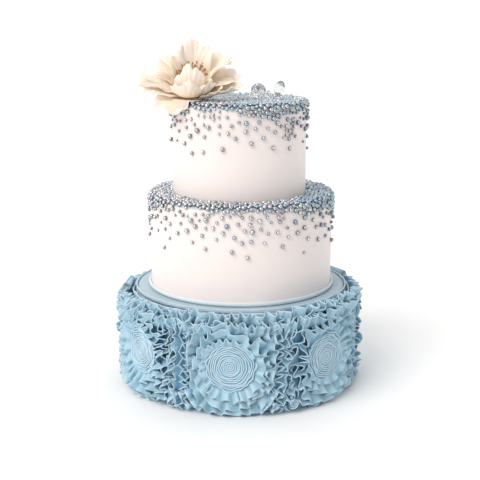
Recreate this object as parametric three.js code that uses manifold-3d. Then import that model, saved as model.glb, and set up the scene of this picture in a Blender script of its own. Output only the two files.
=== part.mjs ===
// A three-tier wedding cake: a blue bottom tier wrapped in fondant ruffles that are wound into rosettes,
// two blush-white tiers with sugar pearls falling from their rims, a sugar peony and two clear sugar gems.
// Millimetres, +Z up. The origin is the centre of the flat base, and the front of the cake faces -Y.
import * as THREE from "three";
import { mergeVertices } from "three/addons/utils/BufferGeometryUtils.js";
import Module from "manifold-3d";

const wasm = await Module();
wasm.setup();

// ---------- Driving dimensions ----------
const CLEARANCE = 0.3; // left between pieces that touch
const BOTTOM = { radius: 118, height: 108, shoulder: 7, segments: 44 };
const MIDDLE = { radius: 100.5, height: 102.4, shoulder: 4, segments: 44, offset: 0 };
const TOP = { radius: 73, height: 99.4, shoulder: 4, segments: 38, offset: -1.8 };

const ROPE = { thickness: 2.7, height: 4.8, segments: 44 }; // round the foot of the middle tier
// Two fondant strips stand round the bottom tier's rounded edge. Their upper edges are highest at the
// front. The foot gives the heights of the inner and the outer side.
const EDGE_STRIP = {
  radius: 116.2,
  thickness: 1.2,
  foot: [105.7, 104.9],
  top: 108.9,
  highFront: 0.8,
  flare: 0.3,
  wave: 0.3,
};
const COLLAR = {
  radius: 118.7,
  thickness: 1.5,
  foot: [92, 92],
  top: 103.6,
  highFront: 3.6,
  flare: 1.6,
  wave: 0.8,
};

const ROSETTES = 7;
const FRONT_ROSETTES = [-54.3, -4.9, 42.8]; // degrees from the front, to the right
const ROSETTE = {
  radius: 47, // of the outer frill
  tallness: 1.09, // height of the outer frill over its width
  coil: 28, // radius of the wound centre
  centreHeight: 53.5,
  coilDepth: 14.5, // how far the wound centre stands out of the tier
  coilPitch: 11,
  coilRelief: 1.1,
  pleatHigh: 18.2,
  pleatLow: 11,
  rimDepth: 11,
  sectors: 18,
};
// The frill between two rosettes.
const BAND = { low: 1.5, high: 99.6, depth: 12.5, relief: 4.6, rows: 11, columns: 4, margin: 1.1 };

// Rolled ends of the strips: two lie along the rim, and two buds face outwards at the foot.
const QUILL = {
  radius: 4.2,
  bore: 1.7,
  boreDepth: 5,
  length: 34,
  reach: 126.6,
  height: 104.7,
  azimuths: [-93, 117],
};
const BUD = {
  radius: 5.3,
  depth: 12,
  reach: 137,
  height: 11.4,
  azimuths: [23.6, 15.2],
  scales: [1, 0.7],
};

const PEARL = { radius: 2.3, sunk: 0.35, perTier: 24, deepest: 47, spread: 1.7 };
const CRUST = { thickness: 2.1, drop: 8, uneven: 1.4 }; // the close layer of pearls over a tier's top edge

const FLOWER = { at: [-53, -9, 318], lean: 30, petalThickness: 1.2, stemRadius: 6 };
const GEM = { radius: 8.6, crown: 4.2, table: 5.4, pavilion: 8.6, facets: 8 };

const BOTTOM_TOP = BOTTOM.height;
const MIDDLE_FOOT = BOTTOM_TOP + CLEARANCE;
const MIDDLE_TOP = MIDDLE_FOOT + MIDDLE.height;
const TOP_FOOT = MIDDLE_TOP + CLEARANCE;
const CAKE_TOP = TOP_FOOT + TOP.height;

// ---------- Materials ----------
const material = (color, roughness, options = {}) =>
  new THREE.MeshStandardMaterial({ color, roughness, metalness: 0, ...options });
const BLUE_FONDANT = material(0xa9cbdc, 0.6);
const PALE_BLUE_FONDANT = material(0xc3d2db, 0.55);
const BLUSH_FONDANT = material(0xf3ebe6, 0.55);
const IVORY_PASTE = material(0xfbe9d3, 0.6);
const STAMEN_GOLD = material(0xc9a266, 0.7);
const CLEAR_SUGAR = material(0xeef0f2, 0.05, { transparent: true, opacity: 0.4 });

// ---------- Solids ----------
const radians = THREE.MathUtils.degToRad;
const GOLDEN_ANGLE = Math.PI * (3 - Math.sqrt(5));

// A closed geometry as a manifold-3d solid.
function solidOf(geometry) {
  const bare = geometry.index ? geometry.toNonIndexed() : geometry.clone();
  const positions = new THREE.BufferGeometry().setAttribute("position", bare.getAttribute("position"));
  const merged = mergeVertices(positions, 1e-3);
  return new wasm.Manifold(
    new wasm.Mesh({
      numProp: 3,
      vertProperties: new Float32Array(merged.attributes.position.array),
      triVerts: new Uint32Array(merged.index.array),
    }),
  );
}

// The largest body of a solid, as a geometry. Triangles smaller than the tolerance are merged away.
function geometryOf(solid, tolerance = 0.05) {
  const largest = (whole) => whole.decompose().sort((a, b) => b.volume() - a.volume())[0];
  const { numProp, vertProperties, triVerts } = largest(largest(solid).simplify(tolerance)).getMesh();
  const positions = new Float32Array((vertProperties.length / numProp) * 3);
  for (let i = 0; i < positions.length / 3; i++) {
    positions.set(vertProperties.subarray(i * numProp, i * numProp + 3), i * 3);
  }
  const geometry = new THREE.BufferGeometry();
  geometry.setAttribute("position", new THREE.BufferAttribute(positions, 3));
  geometry.setIndex(new THREE.BufferAttribute(new Uint32Array(triVerts), 1));
  return geometry;
}

// Turns a profile of [radius, height] pairs about the Z axis.
function turned(profile, segments) {
  const points = profile.map(([r, z]) => new THREE.Vector2(r, z));
  return new THREE.LatheGeometry(points, segments).rotateX(Math.PI / 2);
}

// Points of a quarter round, from pointing outwards to pointing up.
function quarterRound(centreR, centreZ, radius, steps) {
  return Array.from({ length: steps + 1 }, (_, i) => {
    const angle = (Math.PI / 2) * (i / steps);
    return [centreR + radius * Math.cos(angle), centreZ + radius * Math.sin(angle)];
  });
}

function tierProfile({ radius, height, shoulder }, grow = 0) {
  const r = radius + grow;
  return [
    [0, -grow],
    [r, -grow],
    ...quarterRound(radius - shoulder, height - shoulder, shoulder + grow, 3),
    [0, height + grow],
  ];
}

function addMesh(group, name, geometry, look) {
  const mesh = new THREE.Mesh(geometry, look);
  mesh.name = name;
  group.add(mesh);
  return mesh;
}

// ---------- Bottom tier and its ruffles ----------

// A plate of relief laid round the tier at an azimuth. Each point is [arc, height, depth], and the outline
// lists the points of the plate's edge, anticlockwise from outside. It is cut clear of the wall.
function reliefPlate(points, triangles, outline, azimuth, wall) {
  const buriedDepth = -12;
  const place = ([arc, height, depth]) => {
    const angle = azimuth + arc / (BOTTOM.radius + ROSETTE.coilDepth);
    const r = BOTTOM.radius + depth;
    return [r * Math.sin(angle), -r * Math.cos(angle), height];
  };
  const vertices = points.map(place);
  const faces = [...triangles];
  const buried = outline.map((index) => {
    const [arc, height] = points[index];
    vertices.push(place([arc, height, buriedDepth]));
    return vertices.length - 1;
  });
  outline.forEach((front, i) => {
    const next = (i + 1) % outline.length;
    faces.push([front, buried[i], outline[next]], [outline[next], buried[i], buried[next]]);
  });
  const loop = outline.map((index) => new THREE.Vector2(points[index][0], points[index][1]));
  for (const [a, b, c] of THREE.ShapeUtils.triangulateShape(loop, [])) {
    faces.push([buried[a], buried[c], buried[b]]);
  }
  const geometry = new THREE.BufferGeometry();
  geometry.setAttribute("position", new THREE.Float32BufferAttribute(vertices.flat(), 3));
  geometry.setIndex(faces.flat());
  return geometryOf(solidOf(geometry).subtract(wall));
}

// A wound strip whose outer turns open into pleats.
function rosetteGeometry(number, azimuth, wall) {
  const { radius, tallness, coil, coilPitch, coilRelief, coilDepth, sectors } = ROSETTE;
  const coilRings = Math.round(coil / (coilPitch / 2));
  const rings = [];
  for (let i = 1; i <= coilRings; i++) rings.push((i * coil) / coilRings);
  const frillRings = [
    { at: 0.35, pleat: 0.35 },
    { at: 0.72, pleat: 1 },
    { at: 1, pleat: 0.75 },
  ];
  frillRings.forEach(({ at }) => rings.push(coil + at * (radius - coil)));

  const points = [[0, ROSETTE.centreHeight, coilDepth + coilRelief]];
  rings.forEach((ring, i) => {
    for (let s = 0; s < sectors; s++) {
      const angle = (2 * Math.PI * s) / sectors;
      const wobble = Math.sin(3 * angle + number * 2.1) + Math.sin(5 * angle - number);
      let depth = coilDepth + coilRelief * Math.cos((2 * Math.PI * ring) / coilPitch - angle);
      let reach = ring;
      if (i >= coilRings) {
        const { at, pleat } = frillRings[i - coilRings];
        const { pleatHigh, pleatLow, rimDepth } = ROSETTE;
        const crest = s % 2 === 0 ? 1 : -1;
        const middle = at === 1 ? rimDepth : (pleatHigh + pleatLow) / 2;
        depth = middle + (crest * pleat * (pleatHigh - pleatLow)) / 2 + 0.4 * wobble;
        if (at === 1) reach = ring - 1.2 * (1 - crest) - 0.6 * Math.abs(wobble);
      }
      const rise = reach * Math.sin(angle) * (i >= coilRings ? tallness : 1);
      points.push([reach * Math.cos(angle), ROSETTE.centreHeight + rise, depth]);
    }
  });
  const triangles = [];
  const at = (ring, s) => 1 + ring * sectors + (s % sectors);
  for (let s = 0; s < sectors; s++) {
    triangles.push([0, at(0, s), at(0, s + 1)]);
    for (let i = 0; i + 1 < rings.length; i++) {
      const [a, b, c, d] = [at(i, s), at(i + 1, s), at(i + 1, s + 1), at(i, s + 1)];
      triangles.push([a, b, c], [a, c, d]);
    }
  }
  const outline = Array.from({ length: sectors }, (_, s) => at(rings.length - 1, s));
  return reliefPlate(points, triangles, outline, azimuth, wall);
}

// The upright frill that fills the space from one rosette, at azimuth from, to the next, at azimuth to.
function bandGeometry(number, from, to, wall) {
  const { low, high, depth, relief, rows, columns, margin } = BAND;
  const halfSpace = ((to - from) / 2) * (BOTTOM.radius + ROSETTE.coilDepth);
  const clear = ROSETTE.radius + margin;
  const points = [];
  for (let i = 0; i <= rows; i++) {
    const height = low + ((high - low) * i) / rows;
    const rise = (height - ROSETTE.centreHeight) / ROSETTE.tallness;
    const rosetteEdge = Math.sqrt(Math.max(0, clear * clear - rise * rise));
    const half = Math.min(halfSpace - rosetteEdge, halfSpace - margin);
    for (let j = 0; j <= columns; j++) {
      const across = (2 * j) / columns - 1;
      const fold = Math.sin(i * 1.9 + j * 2.4 + number * 1.3);
      const edge = Math.abs(across) === 1 || i === 0 || i === rows ? 0.55 : 1;
      points.push([across * half, height, depth * edge + relief * fold * edge]);
    }
  }
  const at = (i, j) => i * (columns + 1) + j;
  const triangles = [];
  for (let i = 0; i < rows; i++) {
    for (let j = 0; j < columns; j++) {
      const [a, b, c, d] = [at(i, j), at(i, j + 1), at(i + 1, j + 1), at(i + 1, j)];
      triangles.push([a, b, c], [a, c, d]);
    }
  }
  const outline = [
    ...Array.from({ length: columns }, (_, j) => at(0, j)),
    ...Array.from({ length: rows }, (_, i) => at(i, columns)),
    ...Array.from({ length: columns }, (_, j) => at(rows, columns - j)),
    ...Array.from({ length: rows }, (_, i) => at(rows - i, 0)),
  ];
  return reliefPlate(points, triangles, outline, (from + to) / 2, wall);
}

// A thin strip that stands round the tier. Its wavy top leans out by the flare and is higher at the front.
function standingStrip({ radius, thickness, foot, top, highFront, flare, wave }) {
  const profile = [
    [radius, foot[0]],
    [radius + thickness, foot[1]],
    [radius + flare + thickness, top],
    [radius + flare, top],
    [radius, foot[0]],
  ];
  const geometry = turned(profile, BOTTOM.segments);
  const position = geometry.getAttribute("position");
  for (let i = 0; i < position.count; i++) {
    if (position.getZ(i) < top - 0.1) continue;
    const angle = Math.atan2(position.getX(i), -position.getY(i));
    const ripple = Math.sin(9 * angle) + Math.sin(14 * angle + 1);
    position.setZ(i, top + highFront * Math.cos(angle) + (wave / 2) * ripple);
  }
  return geometry;
}

// A strip rolled into a quill along +Y, open at its near end.
function quillGeometry(grow = 0) {
  const { radius, bore, boreDepth, length } = QUILL;
  const half = length / 2 + grow;
  const profile = [
    [0, -half],
    [radius * 0.5 + grow, -half],
    [radius + grow, -half * 0.6],
    [radius + grow, half],
  ];
  if (grow === 0) profile.push([bore, half], [bore, half - boreDepth], [0, half - boreDepth - 1]);
  else profile.push([0, half]);
  return turned(profile, 10).rotateX(Math.PI / 2);
}

// A strip rolled into a bud that faces -Y.
function budGeometry(scale, grow = 0) {
  const radius = BUD.radius * scale + grow;
  const profile = [[0, -BUD.depth], [radius * 0.7, -BUD.depth], [radius, -3], [radius * 0.85, 0]];
  if (grow === 0) profile.push([radius * 0.5, -1.6], [0, -0.6]);
  else profile.push([0, grow]);
  return turned(profile, 10).rotateX(Math.PI / 2);
}

// Turns a geometry from the front of the tier to an azimuth, at a reach from its axis.
function placeAt(geometry, azimuth, reach, height) {
  return geometry.translate(0, -reach, height).rotateZ(radians(azimuth));
}

function placedQuill(i, grow) {
  const quill = quillGeometry(grow).rotateZ(i === 0 ? -Math.PI / 2 : Math.PI / 2);
  return placeAt(quill, QUILL.azimuths[i], QUILL.reach, QUILL.height);
}

function placedBud(i, grow) {
  return placeAt(budGeometry(BUD.scales[i], grow), BUD.azimuths[i], BUD.reach, BUD.height);
}

// What the ruffles keep clear of: the tier, its collar and the rolled pieces, each grown by the clearance.
function ruffleWall() {
  const { radius, height } = BOTTOM;
  const stripRadius = COLLAR.radius + COLLAR.flare + COLLAR.thickness + CLEARANCE;
  const step = COLLAR.foot[0] - CLEARANCE;
  const profile = [
    [0, -CLEARANCE],
    [radius + CLEARANCE, -CLEARANCE],
    [radius + CLEARANCE, step],
    [stripRadius, step],
    [stripRadius, height + 5],
    [0, height + 5],
  ];
  let wall = solidOf(turned(profile, BOTTOM.segments));
  QUILL.azimuths.forEach((_, i) => (wall = wall.add(solidOf(placedQuill(i, CLEARANCE)))));
  BUD.azimuths.forEach((_, i) => (wall = wall.add(solidOf(placedBud(i, CLEARANCE)))));
  return wall;
}

// The front rosettes stand where they are named, and the others share out the rest of the circle.
function rosetteAzimuths() {
  const azimuths = FRONT_ROSETTES.map(radians);
  const last = azimuths.at(-1);
  const gap = (azimuths[0] + 2 * Math.PI - last) / (ROSETTES - azimuths.length + 1);
  for (let i = 1; azimuths.length < ROSETTES; i++) azimuths.push(last + i * gap);
  return azimuths;
}

function buildBottomTier() {
  const tier = new THREE.Group();
  addMesh(tier, "bottom_tier", turned(tierProfile(BOTTOM), BOTTOM.segments), BLUE_FONDANT);
  addMesh(tier, "edge_strip", standingStrip(EDGE_STRIP), PALE_BLUE_FONDANT);
  addMesh(tier, "collar", standingStrip(COLLAR), BLUE_FONDANT);
  QUILL.azimuths.forEach((_, i) => addMesh(tier, `quill_${i + 1}`, placedQuill(i), BLUE_FONDANT));
  BUD.azimuths.forEach((_, i) => addMesh(tier, `bud_${i + 1}`, placedBud(i), BLUE_FONDANT));
  const wall = ruffleWall();
  const azimuths = rosetteAzimuths();
  azimuths.forEach((azimuth, i) => {
    const next = i + 1 < ROSETTES ? azimuths[i + 1] : azimuths[0] + 2 * Math.PI;
    addMesh(tier, `rosette_${i + 1}`, rosetteGeometry(i, azimuth, wall), BLUE_FONDANT);
    addMesh(tier, `frill_${i + 1}`, bandGeometry(i, azimuth, next, wall), BLUE_FONDANT);
  });
  return tier;
}

// ---------- White tiers and their pearls ----------

// The close layer of pearls: it covers a tier's top from the inner radius outwards and hangs unevenly over
// the edge.
function crustSolid({ radius, height, shoulder, segments }, innerRadius) {
  const { thickness, drop, uneven } = CRUST;
  const profile = [
    [innerRadius, height - 1],
    [radius - shoulder, height - 1],
    [radius - 1, height - shoulder],
    [radius - 1, height - drop],
    [radius + thickness / 2, height - drop + 1],
    ...quarterRound(radius - shoulder, height - shoulder, shoulder + thickness, 2),
    [innerRadius, height + thickness],
  ];
  if (innerRadius > 0) profile.push([innerRadius, height - 1]);
  const geometry = turned(profile, segments);
  const position = geometry.getAttribute("position");
  for (let i = 0; i < position.count; i++) {
    if (position.getZ(i) > height - shoulder - 0.1) continue;
    const angle = Math.atan2(position.getY(i), position.getX(i));
    const wave = Math.sin(7 * angle) + Math.sin(11 * angle + 1) + Math.sin(17 * angle + 2);
    position.setZ(i, position.getZ(i) + uneven * wave);
  }
  return solidOf(geometry);
}

function pearlSolid(x, y, z, radius) {
  return solidOf(new THREE.IcosahedronGeometry(radius, 0).rotateZ(x + y).translate(x, y, z));
}

// A white tier, its pearl crust and the largest single pearls, joined into one piece. The pearls fall from
// the rim, each turned by the golden angle from the last, and thin out downwards.
function pearledTier(tier, innerRadius) {
  let solid = solidOf(turned(tierProfile(tier), tier.segments)).add(crustSolid(tier, innerRadius));
  const wallReach = tier.radius + PEARL.radius * (1 - 2 * PEARL.sunk);
  for (let i = 0; i < PEARL.perTier; i++) {
    const angle = i * GOLDEN_ANGLE;
    const share = ((i + 0.5) / PEARL.perTier) ** PEARL.spread;
    const fall = CRUST.drop + 4 + (PEARL.deepest - CRUST.drop - 4) * share;
    const [x, y] = [wallReach * Math.cos(angle), wallReach * Math.sin(angle)];
    solid = solid.add(pearlSolid(x, y, tier.height - fall, PEARL.radius));
  }
  return geometryOf(solid);
}

function buildWhiteTiers() {
  const tiers = new THREE.Group();
  const middle = addMesh(tiers, "middle_tier", pearledTier(MIDDLE, TOP.radius + 3.2), BLUSH_FONDANT);
  middle.position.set(MIDDLE.offset, 0, MIDDLE_FOOT);
  const top = addMesh(tiers, "top_tier", pearledTier(TOP, 0), BLUSH_FONDANT);
  top.position.set(TOP.offset, 0, TOP_FOOT);

  const inner = MIDDLE.radius + CLEARANCE;
  const outer = inner + ROPE.thickness;
  const profile = [
    [inner, 0],
    [outer, 0],
    [outer, ROPE.height - ROPE.thickness / 2],
    [inner + ROPE.thickness * 0.55, ROPE.height],
    [inner, ROPE.height - ROPE.thickness / 2],
    [inner, 0],
  ];
  const rope = addMesh(tiers, "base_rope", turned(profile, ROPE.segments), PALE_BLUE_FONDANT);
  rope.position.set(MIDDLE.offset, 0, MIDDLE_FOOT);
  return tiers;
}

// ---------- Sugar peony ----------

// Each petal: its name, the direction it points, in degrees round the flower (0 right, 90 back, 180 left,
// 270 front), the angle from the flower's axis at which it starts, how much further it bends, its length,
// half width, base height, how strongly it cups across, and the size and phase of its ruffle.
const PETAL_FIELDS = ["name", "toward", "open", "curl", "length", "half", "base", "cup", "ruffle", "phase"];
const PETALS = [
  ["inner_front", 270, 84, -140, 47, 16, 8, 0.8, 0.5, 0.4],
  ["inner_back_left", 112, 16, 34, 42, 17, 9, 0.4, 2.8, 1.2],
  ["inner_back_right", 70, 12, 34, 46, 18, 8, 0.4, 3.0, 2.6],
  ["inner_left", 157, 34, 34, 42, 14, 8, 0.5, 2.6, 0.2],
  ["inner_right", 20, 30, 50, 50, 15, 8, 0.6, 2.6, 1.9],
  ["middle_front", 264, 84, -88, 46, 18, 4, 0.7, 0.9, 2.9],
  ["middle_front_right", 312, 84, -78, 38, 13, 4, 0.6, 1.6, 0.9],
  ["middle_left", 186, 64, 12, 50, 12, 4, 0.3, 2.4, 1.4],
  ["middle_right", 2, 48, 44, 46, 14, 4, 0.4, 2.3, 2.2],
  ["middle_back_left", 150, 50, 26, 38, 14, 4, 0.5, 2.4, 0.7],
  ["middle_back_right", 50, 44, 26, 40, 15, 4, 0.5, 2.4, 3.3],
  ["outer_front_left", 243, 82, -10, 45, 24, 0.5, 0.2, 2.4, 2.4],
  ["outer_front_right", 322, 88, -60, 38, 15, 1, 0.9, 1.4, 0.3],
  ["outer_left", 193, 70, 4, 52, 14, 1.5, 0.45, 2.4, 1.1],
  ["outer_right", 346, 80, -22, 56, 17, 1.5, 1.1, 1.8, 2.0],
  ["outer_back_left", 150, 62, 12, 40, 16, 1, 0.45, 2.2, 0.6],
  ["outer_back_right", 30, 64, 12, 40, 16, 1, 0.45, 2.2, 1.8],
].map((row) => Object.fromEntries(PETAL_FIELDS.map((field, i) => [field, row[i]])));
const PETAL = {
  baseRadius: 6,
  baseShare: 0.34,
  widest: 0.55,
  tipRound: 0.26,
  waves: 2.4,
  across: 5,
  along: 4,
};

// A point on the middle surface of a petal: u runs across it from -1 to 1, and v from its base 0 to its
// tip 1.
function petalPoint(petal, u, v) {
  const start = radians(petal.open);
  const bend = radians(petal.curl);
  const reach = v * (1 - PETAL.tipRound * Math.abs(u) ** 3);
  const lean = start + bend * reach;
  const r = PETAL.baseRadius + (petal.length * (Math.cos(start) - Math.cos(lean))) / bend;
  const h = petal.base + (petal.length * (Math.sin(lean) - Math.sin(start))) / bend;
  const swell = Math.sin((Math.PI / 2) * Math.min(1, Math.max(0, v) / PETAL.widest));
  const across = petal.half * (PETAL.baseShare + (1 - PETAL.baseShare) * swell) * u;
  const cup = petal.cup * 0.5 * (across * across) / petal.half;
  const wave = Math.sin(Math.PI * PETAL.waves * u + petal.phase) * (0.35 + 0.65 * Math.abs(u));
  const inward = cup + petal.ruffle * wave * Math.max(0, v) ** 4;
  const radial = r - Math.cos(lean) * inward;
  const height = h + Math.sin(lean) * inward;
  const toward = radians(petal.toward);
  return new THREE.Vector3(
    radial * Math.cos(toward) - across * Math.sin(toward),
    radial * Math.sin(toward) + across * Math.cos(toward),
    height,
  );
}

// A petal as a closed shell, with both faces triangulated alike. Grow pushes every surface outwards.
function petalSolid(petal, grow = 0) {
  const { across, along } = PETAL;
  const faces = [[], []];
  const step = 0.02;
  const slope = (u, v, du, dv) => {
    const ahead = petalPoint(petal, u + du, v + dv);
    return ahead.sub(petalPoint(petal, u - du, v - dv)).normalize();
  };
  const side = (i, last) => (i === last ? grow : 0) - (i === 0 ? grow : 0);
  for (let i = 0; i <= along; i++) {
    for (let j = 0; j <= across; j++) {
      const [u, v] = [(2 * j) / across - 1, i / along];
      const alongU = slope(u, v, step, 0);
      const alongV = slope(u, v, 0, step);
      const point = petalPoint(petal, u, v);
      point.addScaledVector(alongU, side(j, across)).addScaledVector(alongV, side(i, along));
      const normal = alongU.cross(alongV).normalize().multiplyScalar(FLOWER.petalThickness / 2 + grow);
      faces[0].push(point.clone().add(normal));
      faces[1].push(point.clone().sub(normal));
    }
  }
  const count = faces[0].length;
  const at = (i, j) => i * (across + 1) + j;
  const triangles = [];
  for (let i = 0; i < along; i++) {
    for (let j = 0; j < across; j++) {
      const [a, b, c, d] = [at(i, j), at(i, j + 1), at(i + 1, j + 1), at(i + 1, j)];
      triangles.push(a, b, c, a, c, d, a + count, c + count, b + count, a + count, d + count, c + count);
    }
  }
  const rim = [
    ...Array.from({ length: across }, (_, j) => at(0, j)),
    ...Array.from({ length: along }, (_, i) => at(i, across)),
    ...Array.from({ length: across }, (_, j) => at(along, across - j)),
    ...Array.from({ length: along }, (_, i) => at(along - i, 0)),
  ];
  rim.forEach((a, i) => {
    const b = rim[(i + 1) % rim.length];
    triangles.push(a, a + count, b, b, a + count, b + count);
  });
  const geometry = new THREE.BufferGeometry();
  const positions = faces.flat().flatMap((p) => p.toArray());
  geometry.setAttribute("position", new THREE.Float32BufferAttribute(positions, 3));
  geometry.setIndex(triangles);
  return solidOf(geometry);
}

// The knob that carries the petals, flat where it stands on the cake, in the flower's frame.
function flowerHeartGeometry(frame) {
  const { stemRadius } = FLOWER;
  const profile = [[0, -30], [stemRadius, -30], [stemRadius, 0], [stemRadius * 0.7, 9], [0, 11]];
  const floor = new THREE.BoxGeometry(90, 90, 60);
  floor.translate(FLOWER.at[0], FLOWER.at[1], CAKE_TOP + CRUST.thickness + CLEARANCE - 30);
  floor.applyMatrix4(frame.clone().invert());
  return geometryOf(solidOf(turned(profile, 12)).subtract(solidOf(floor)));
}

// A tuft of stamens: a low dome with thin filaments that end in anthers.
function stamensGeometry() {
  const count = 6;
  let solid = solidOf(turned([[0, 11.5], [3.6, 11.5], [2.6, 15], [0, 16]], 8));
  for (let i = 0; i < count; i++) {
    const angle = i * GOLDEN_ANGLE;
    const spread = 0.12 + 0.5 * Math.sqrt((i + 0.5) / count);
    const length = 21 + 2 * Math.sin(i * 2.3);
    const filament = new THREE.CylinderGeometry(0.5, 0.5, length, 3);
    filament.rotateX(Math.PI / 2).translate(0, 0, length / 2);
    const anther = new THREE.OctahedronGeometry(1.25).scale(1, 1, 1.5).translate(0, 0, length);
    const pose = new THREE.Matrix4().makeRotationFromEuler(new THREE.Euler(0, spread, angle, "ZYX"));
    pose.setPosition(1.6 * spread * Math.cos(angle), 1.6 * spread * Math.sin(angle), 12.5);
    solid = solid.add(solidOf(filament.applyMatrix4(pose))).add(solidOf(anther.applyMatrix4(pose)));
  }
  return geometryOf(solid);
}

// A solid grown by a little more than the clearance in every direction.
function widened(solid) {
  const shift = CLEARANCE * 1.5;
  const axes = [[shift, 0, 0], [0, shift, 0], [0, 0, shift]];
  const moves = axes.flatMap((axis) => [axis, axis.map((value) => -value)]);
  return moves.reduce((sum, move) => sum.add(solid.translate(move)), solid);
}

// Petals are laid from the heart outwards. Each is cut clear of the cake and of the petals already laid.
function buildFlower(topTier) {
  const flower = new THREE.Group();
  flower.position.set(...FLOWER.at);
  flower.rotation.x = radians(FLOWER.lean);
  flower.updateMatrixWorld();
  const heart = addMesh(flower, "flower_heart", flowerHeartGeometry(flower.matrixWorld), IVORY_PASTE);
  const stamens = addMesh(flower, "stamens", stamensGeometry(), STAMEN_GOLD);
  topTier.updateMatrixWorld();
  const toFlower = flower.matrixWorld.clone().invert().multiply(topTier.matrixWorld);
  const ground = topTier.geometry.clone().applyMatrix4(toFlower);
  let laid = [heart.geometry, stamens.geometry, ground]
    .map((geometry) => widened(solidOf(geometry)))
    .reduce((sum, solid) => sum.add(solid));
  for (const petal of PETALS) {
    const solid = petalSolid(petal).subtract(laid);
    addMesh(flower, `petal_${petal.name}`, geometryOf(solid, 0.1), IVORY_PASTE);
    laid = laid.add(petalSolid(petal, 1.5 * CLEARANCE));
  }
  return flower;
}

// ---------- Clear sugar gems ----------

// A brilliant: a flat table, a crown, and a pavilion that ends in a point.
function gemGeometry(scale) {
  const profile = [[0, -GEM.pavilion], [GEM.radius, 0], [GEM.table, GEM.crown], [0, GEM.crown]];
  return turned(profile, GEM.facets).toNonIndexed().scale(scale, scale, scale);
}

// Stands a gem on the pearl crust, turned as it lies.
function addGem(group, name, { x, y, turn, tip, scale }) {
  const gem = addMesh(group, name, gemGeometry(scale), CLEAR_SUGAR);
  gem.rotation.set(radians(tip), 0, radians(turn), "ZXY");
  gem.updateMatrixWorld();
  const lowest = new THREE.Box3().setFromObject(gem, true).min.z;
  gem.position.set(x, y, CAKE_TOP + CRUST.thickness + CLEARANCE - lowest);
}

function buildGems() {
  const gems = new THREE.Group();
  addGem(gems, "gem_left", { x: 19, y: 1, turn: 12, tip: 68, scale: 1 });
  addGem(gems, "gem_right", { x: 43, y: 27, turn: -52, tip: 80, scale: 1.02 });
  addGem(gems, "gem_small", { x: 32, y: 50, turn: 70, tip: 40, scale: 0.34 });
  return gems;
}

const cake = new THREE.Group();
const whiteTiers = buildWhiteTiers();
cake.add(buildBottomTier(), whiteTiers, buildFlower(whiteTiers.getObjectByName("top_tier")), buildGems());

export default cake;
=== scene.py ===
# The tiered wedding cake dressed for its photograph: fondant strips wound into rosettes, sugar pearls, a sugar
# peony and clear sugar gems. Lengths are millimetres until a mesh is made. -Y is the front, and azimuths run
# from the front to the right.
import math
from collections import namedtuple

import bmesh
import bpy
import numpy as np
from mathutils import Matrix, Vector


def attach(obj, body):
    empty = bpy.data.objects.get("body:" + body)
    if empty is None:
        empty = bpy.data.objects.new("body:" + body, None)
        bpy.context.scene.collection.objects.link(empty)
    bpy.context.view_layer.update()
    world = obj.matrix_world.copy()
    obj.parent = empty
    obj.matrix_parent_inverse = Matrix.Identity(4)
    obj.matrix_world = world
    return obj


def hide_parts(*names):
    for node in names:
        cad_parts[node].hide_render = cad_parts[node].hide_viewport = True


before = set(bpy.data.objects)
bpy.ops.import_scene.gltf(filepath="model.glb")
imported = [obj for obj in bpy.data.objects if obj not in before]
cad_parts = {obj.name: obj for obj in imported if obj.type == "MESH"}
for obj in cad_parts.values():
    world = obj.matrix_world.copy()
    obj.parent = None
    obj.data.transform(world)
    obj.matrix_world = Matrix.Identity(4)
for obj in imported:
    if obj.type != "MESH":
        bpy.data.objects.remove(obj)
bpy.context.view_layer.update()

MM = 0.001
FULL_TURN = 2 * np.pi
BLACK, WHITE = (0, 0, 0), (1, 1, 1)

Tier = namedtuple("Tier", "radius height shoulder foot offset")
BOTTOM = Tier(118.0, 108.0, 7.0, 0.0, 0.0)
MIDDLE = Tier(100.5, 102.4, 4.0, 108.3, 0.0)
TOP = Tier(73.0, 99.4, 4.0, 211.0, -1.8)
CAKE_TOP = TOP.foot + TOP.height
CRUST = 2.1  # how high the solids' layer of pearls stands on a tier
CLEARANCE = 0.3  # between pieces that rest on each other

ROSETTE_AZIMUTHS = np.radians([-54.3, -4.9, 42.8, 95.38, 147.96, 200.54, 253.12])
PLEATED_AT = np.radians([200, -85, 20, 100, 250, -40, 150])  # where a rosette's outer turns lie in long pleats
ROSETTE_HEIGHT = 53.5
COIL_RADIUS, COIL_DEPTH = 26.0, 14.5
COIL_TURNS = COIL_RADIUS / 2.15  # they lie 2.15 apart
FLUTED_TURNS = 3.5
UNROLL_RADIUS = BOTTOM.radius + COIL_DEPTH  # arcs on the ruffled wall are measured here
SHORTEST_PATH = 8.0  # a shorter path gets no ruffle
LOWEST_FOLD = 0.3
# How high the ruffles reach, by degrees from the front: up to the rim in front, and less at the sides and behind.
RUFFLE_TOPS = np.array([(-150, 101.5), (-105, 99.5), (-85, 99.5), (-68, 102.5), (-50, 107), (-25, 107.5), (15, 107.5),
                        (34, 111), (50, 112), (66, 109.5), (85, 104), (108, 100), (150, 101.5)]).T


# ---------- Numbers ----------
def wrapped(angle):
    """An angle brought to between -pi and pi."""
    return (angle + np.pi) % FULL_TURN - np.pi


def bell(distance, width):
    return np.exp(-((distance / width) ** 2))


def circle(count):
    return np.linspace(0, FULL_TURN, count, endpoint=False)


def unit(vectors):
    return vectors / np.maximum(1e-9, np.linalg.norm(vectors, axis=-1))[..., None]


def value_noise(rng, x, cell):
    """Smooth noise from -1 to 1 along x."""
    x = x / cell
    low = math.floor(x.min()) - 1
    knots = rng.uniform(-1, 1, math.ceil(x.max()) - low + 4)
    i = np.floor(x).astype(int)
    f = x - i
    f = f * f * (3 - 2 * f)
    return knots[i - low] * (1 - f) + knots[i - low + 1] * f


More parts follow.
